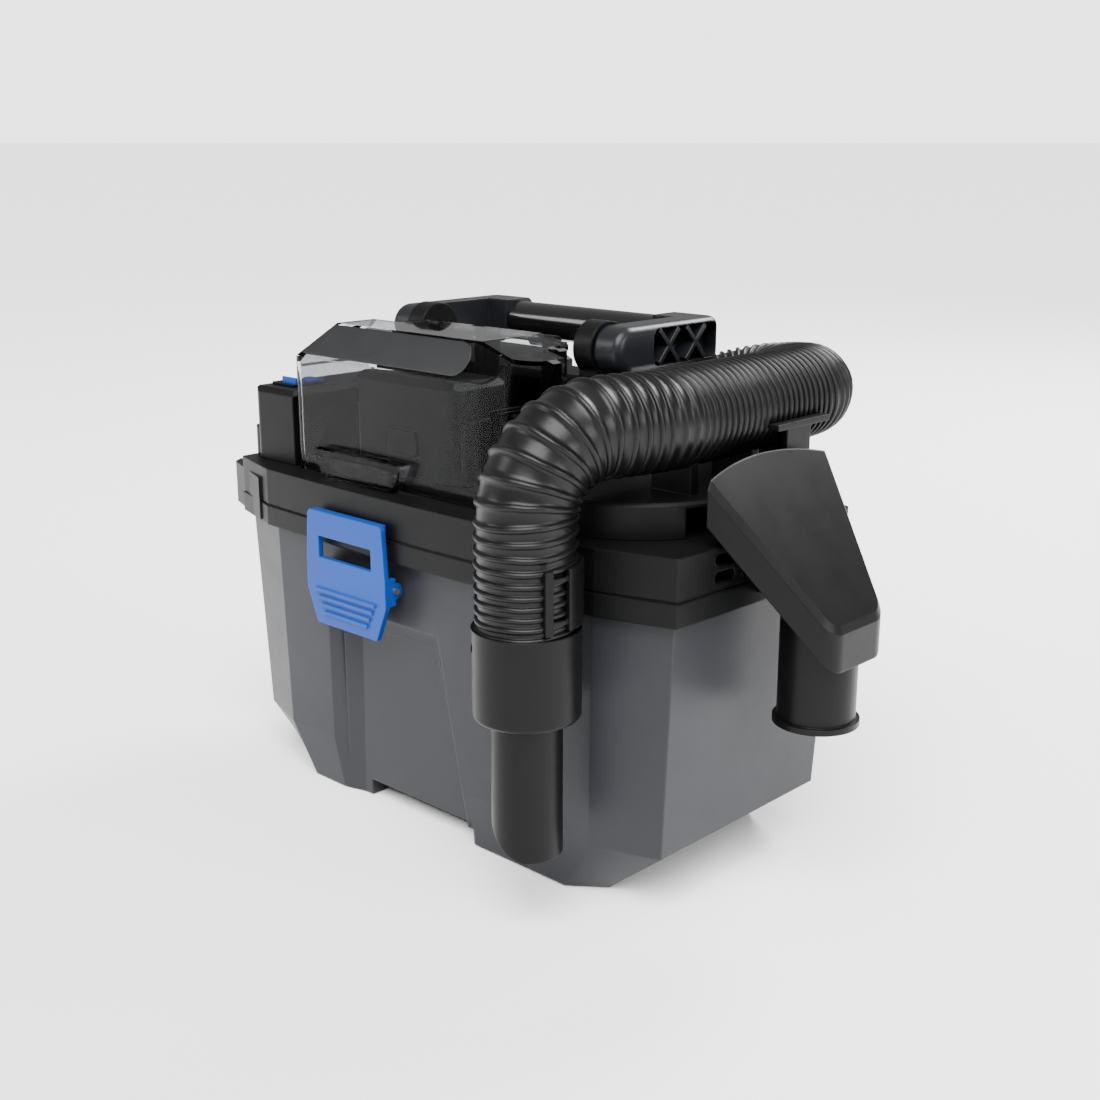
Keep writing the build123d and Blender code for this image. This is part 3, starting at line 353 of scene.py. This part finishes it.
pleat_painted_shade.inputs["B"].default_value = (0.78, 0.76, 0.68, 1)
join(pleat_tree,
     (place.outputs["Object"], centred.inputs["Vector"]),
     (centred.outputs["Vector"], folds.inputs["Vector"]),
     (folds.outputs["Fac"], pleat_count.inputs[0]),
     (pleat_count.outputs["Value"], pleat_wave.inputs[0]),
     (pleat_wave.outputs["Value"], pleat_bump.inputs["Height"]),
     (pleat_wave.outputs["Value"], pleat_painted_shade.inputs["Factor"]),
     (pleat_painted_shade.outputs["Result"], pleat_shader.inputs["Base Color"]),
     (pleat_bump.outputs["Normal"], pleat_shader.inputs["Normal"]))
pleat_shader.inputs["Roughness"].default_value = 0.9
finish(pleat_material, "filter_sleeve")
finish(moulded_plastic("float_plastic", (0.72, 0.72, 0.70), 0.5, rub=0), "float_ball")
finish(moulded_plastic("board_coat", (0.02, 0.16, 0.06), 0.35, pits=260, depth=0.5), "circuit_board")
finish(moulded_plastic("standoff_nylon", (0.55, 0.54, 0.50), 0.5), "board_standoffs")

# Battery pack. A dark rubbery case, slightly rougher than the covers round it. It slides
# into the bay, where a sprung button holds it.
pack_plastic = moulded_plastic("pack_plastic", (0.0045, 0.0046, 0.005), 0.5, pits=600, depth=0.05, rub=0.4,
                               dust=0, gloss=0.15)
finish(pack_plastic, "battery_pack")

# Battery cover. Smoke-tinted clear polycarbonate, glossy on both faces, hung on a steel pin.
# It has very faint flow ripples from the mould and a light haze of fine scratches.
smoke, smoke_tree, smoke_shader = new_material("smoke_clear")
place = add(smoke_tree, "ShaderNodeTexCoord")
ripple = add(smoke_tree, "ShaderNodeTexNoise")
ripple.inputs["Scale"].default_value = 22
ripple_bump = add(smoke_tree, "ShaderNodeBump")
ripple_bump.inputs["Strength"].default_value = 0.04
ripple_bump.inputs["Distance"].default_value = 1 * mm
haze = add(smoke_tree, "ShaderNodeTexNoise")
haze.inputs["Scale"].default_value = 45
haze.inputs["Detail"].default_value = 6
haze_range = add(smoke_tree, "ShaderNodeMapRange")
haze_range.inputs["From Min"].default_value = 0.35
haze_range.inputs["To Min"].default_value = 0.0
haze_range.inputs["To Max"].default_value = 0.03
join(smoke_tree,
     (place.outputs["Object"], ripple.inputs["Vector"]),
     (place.outputs["Object"], haze.inputs["Vector"]),
     (ripple.outputs["Fac"], ripple_bump.inputs["Height"]),
     (ripple_bump.outputs["Normal"], smoke_shader.inputs["Normal"]),
     (haze.outputs["Fac"], haze_range.inputs["Value"]),
     (haze_range.outputs["Result"], smoke_shader.inputs["Roughness"]))
smoke_shader.inputs["Base Color"].default_value = (0.48, 0.485, 0.50, 1)
smoke_shader.inputs["Transmission Weight"].default_value = 1.0
smoke_shader.inputs["IOR"].default_value = 1.15
finish(smoke, "battery_cover")

# Label plate. A thin bare plastic plate with one rounded end, stuck on the cover's sloping
# front band.
plate_plastic = moulded_plastic("plate_plastic", (0.006, 0.0064, 0.007), 0.3, pits=1400, depth=0.05,
                                dust=0, gloss=0.3)
finish(plate_plastic, "label_plate")

# Carrying handle. Two slate-coloured moulded arms with ribbed pockets, turning on steel pins
# in the head's bosses, and joined by a glossy black tube.
arm_plastic = moulded_plastic("arm_plastic", (0.0075, 0.0079, 0.0098), 0.34, edge=1.0 * mm, rub=0.6,
                              dust=0.006, gloss=0.22)
finish(arm_plastic, "handle_arm_left", "handle_arm_right")
grip_plastic = moulded_plastic("grip_plastic", (0.004, 0.004, 0.0045), 0.14, pits=200, depth=0.03,
                               dust=0.01, gloss=0.5)
finish(grip_plastic, "handle_grip")


# Hose. A steel-wire helix under a thin black film: thin raised wires with the film
# sinking between them, crowded on the straight runs and drawn apart round the front bend.
def rounded_route(name, corners, radii):
    route = bpy.data.curves.new(name, "CURVE")
    route.dimensions = "3D"
    route.resolution_u = 24
    route.twist_mode = "MINIMUM"
    line = route.splines.new("BEZIER")
    line.bezier_points.add(2 * len(radii) + 1)
    knots = line.bezier_points
    knots[0].co, knots[-1].co = corners[0], corners[-1]
    for index, radius in enumerate(radii):
        before, corner, after = corners[index:index + 3]
        arriving = (corner - before).normalized()
        leaving = (after - corner).normalized()
        turn = acos(max(-1, min(1, arriving.dot(leaving))))
        setback = radius * tan(turn / 2)
        reach = 4 / 3 * tan(turn / 4) * radius
        first, second = knots[2 * index + 1], knots[2 * index + 2]
        first.co = corner - arriving * setback
        second.co = corner + leaving * setback
        first.handle_right = first.co + arriving * reach
        second.handle_left = second.co - leaving * reach
    for index in range(0, len(knots), 2):
        start, end = knots[index], knots[index + 1]
        third = (end.co - start.co) / 3
        start.handle_right = start.co + third
        end.handle_left = end.co - third
    holder = bpy.data.objects.new(name, route)
    bpy.context.collection.objects.link(holder)
    return holder


hose_corners = [Vector(point) * mm for point in (
    (110, -110, 138), (110, -110, 238), (128, -40, 238), (128, 104, 238),
    (80.3, 106, 232), (59.5, 86.3, 225), (47.5, 77.3, 225))]
hose_radii = [radius * mm for radius in (38, 60, 32, 30, 20)]
hose_route = rounded_route("hose_route", hose_corners, hose_radii)
hose_length = 378.7 * mm
wire_pitch = 5.2 * mm
wire_steps = 36
end_trim = 0.5 * mm
# one turn in section, from the top of a wire to the top of the next: part of the pitch, radius
wire_profile = [(0, 23.5), (0.05, 23.35), (0.085, 22.7), (0.13, 22.2), (0.3, 21.9), (0.5, 21.8),
                (0.7, 21.9), (0.87, 22.2), (0.915, 22.7), (0.95, 23.35), (1, 23.5)]
shape = bmesh.new()
points = [shape.verts.new((along * wire_pitch, 0, radius * mm)) for along, radius in wire_profile]
edges = [shape.edges.new(pair) for pair in zip(points, points[1:])]
turns = int(hose_length / wire_pitch) + 4
bmesh.ops.spin(shape, geom=points + edges, cent=(0, 0, 0), axis=(1, 0, 0), angle=radians(360 * turns),
               dvec=(wire_pitch / wire_steps, 0, 0), steps=wire_steps * turns)
bmesh.ops.remove_doubles(shape, verts=shape.verts, dist=0.02 * mm)
bmesh.ops.translate(shape, verts=shape.verts, vec=(-1.5 * wire_pitch, 0, 0))
# the wires crowd to 0.86 of their pitch on the runs and spread where the hose first bends,
# each wanders a little from its place, and the film sinks in soft patches
crowd, bend_middle, bend_spread = 0.86, 84 * mm, 34 * mm
wander, quiver, film_sag, film_rest = 1.8 * mm, 0.3 * mm, 0.010, 0.002
for vert in shape.verts:
    spread = 0.5 + 0.5 * tanh((vert.co.x - bend_middle) / bend_spread)
    vert.co.x = crowd * vert.co.x + (1 - crowd) * hose_length * spread
    vert.co.x += noise.noise(vert.co * 38) * wander + noise.noise(vert.co * 150) * quiver
    sink = 1 + min(0, noise.noise(vert.co * 90) * film_sag - film_rest)
    vert.co.y *= sink
    vert.co.z *= sink
for where, side in ((end_trim, -1), (hose_length - end_trim, 1)):
    bmesh.ops.bisect_plane(shape, geom=shape.verts[:] + shape.edges[:] + shape.faces[:], dist=1e-6,
                           plane_co=(where, 0, 0), plane_no=(side, 0, 0), clear_outer=True)
bmesh.ops.recalc_face_normals(shape, faces=shape.faces)
hose_mesh = bpy.data.meshes.new("ribbed_hose")
shape.to_mesh(hose_mesh)
shape.free()
hose_mesh.shade_smooth()
straight_hose = bpy.data.objects.new("straight_hose", hose_mesh)
bpy.context.collection.objects.link(straight_hose)
follow = straight_hose.modifiers.new("follow", "CURVE")
follow.object = hose_route
follow.deform_axis = "POS_X"
bpy.context.view_layer.update()
bent_hose = straight_hose.evaluated_get(bpy.context.evaluated_depsgraph_get())
bent_mesh = bpy.data.meshes.new_from_object(bent_hose)
bpy.data.objects.remove(straight_hose)
bpy.data.objects.remove(hose_route)
ribbed_hose = bpy.data.objects.new("ribbed_hose", bent_mesh)
bpy.context.collection.objects.link(ribbed_hose)
wall = ribbed_hose.modifiers.new("wall", "SOLIDIFY")
wall.thickness = 0.9 * mm
wall.offset = -1
hose_film = moulded_plastic("hose_film", (0.0022, 0.0022, 0.0024), 0.36, pits=320, depth=0.15,
                            dust=0.005, rub=0.2, gloss=0.22)
bent_mesh.materials.clear()
bent_mesh.materials.append(hose_film)
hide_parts("hose")
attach(ribbed_hose, "vacuum")

# Cuff and crevice tool. Black mouldings with a satin face: the cuff grips the hose end,
# and the tool is pushed up inside it.
tool_plastic = moulded_plastic("tool_plastic", (0.0022, 0.0022, 0.0024), 0.36, pits=1100, depth=0.06,
                               rub=0.7, dust=0.004, gloss=0.14)
finish(tool_plastic, "hose_cuff", "crevice_tool")

# Front hose clip. A springy C-band behind the hose, fixed to the rim, with two slim
# hoops that carry an upright finger bar round at the outer side.
hose_axis = Vector((110, -110, 0)) * mm
clip_low, clip_high = 153 * mm, 182 * mm
clip_inner, band_outer, hoop_outer = 23.75 * mm, 26.5 * mm, 25.2 * mm
hoop_height = 2.4 * mm
bar_size = Vector((3.2 * mm, 4 * mm, clip_high - clip_low + 1 * mm))
bar_reach = 25.6 * mm
rim_face = -83.4 * mm
bar_turn = radians(-23)
band_turn = radians(2)


def add_arc(shape, inner, outer, low, high, start, end, steps):
    """A rectangle on the hose's radius at angle start, swept about the hose's axis to angle end."""
    ring = [shape.verts.new((hose_axis.x + radius, hose_axis.y, height))
            for radius, height in ((inner, low), (outer, low), (outer, high), (inner, high))]
    cap = shape.faces.new(ring)
    bmesh.ops.rotate(shape, verts=ring, cent=hose_axis, matrix=Matrix.Rotation(start, 3, "Z"))
    bmesh.ops.spin(shape, geom=[cap], cent=hose_axis, axis=(0, 0, 1), angle=end - start, steps=steps)


shape = bmesh.new()
add_arc(shape, clip_inner, band_outer, clip_low, clip_high, band_turn, radians(178), 40)
for low in (clip_low + 3 * mm, clip_high - 6 * mm):
    add_arc(shape, clip_inner, hoop_outer, low, low + hoop_height, bar_turn, band_turn + radians(1), 6)
bar = bmesh.ops.create_cube(shape, size=1)["verts"]
bmesh.ops.scale(shape, verts=bar, vec=bar_size)
bmesh.ops.translate(shape, verts=bar, vec=hose_axis + Vector((bar_reach, 0, (clip_low + clip_high) / 2)))
bmesh.ops.rotate(shape, verts=bar, cent=hose_axis, matrix=Matrix.Rotation(bar_turn, 3, "Z"))
bmesh.ops.bisect_plane(shape, geom=shape.verts[:] + shape.edges[:] + shape.faces[:],
                       plane_co=(0, rim_face, 0), plane_no=(0, 1, 0), clear_outer=True)
bmesh.ops.holes_fill(shape, edges=[edge for edge in shape.edges if edge.is_boundary], sides=0)
bmesh.ops.recalc_face_normals(shape, faces=shape.faces)
clip_mesh = bpy.data.meshes.new("hose_clip_band")
shape.to_mesh(clip_mesh)
shape.free()
clip_mesh.materials.append(tool_plastic)
hose_clip_band = bpy.data.objects.new("hose_clip_band", clip_mesh)
bpy.context.collection.objects.link(hose_clip_band)
rounding = hose_clip_band.modifiers.new("rounding", "BEVEL")
rounding.width = 0.4 * mm
rounding.segments = 2
rounding.limit_method = "ANGLE"
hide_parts("front_hose_clip")
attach(hose_clip_band, "vacuum")

# Wide nozzle. A flat hollow head moulded on a short tube, in the same black plastic as the
# crevice tool. It is stored on the bracket at the tank's right-hand side.
finish(tool_plastic, "nozzle_head", "nozzle_tube")
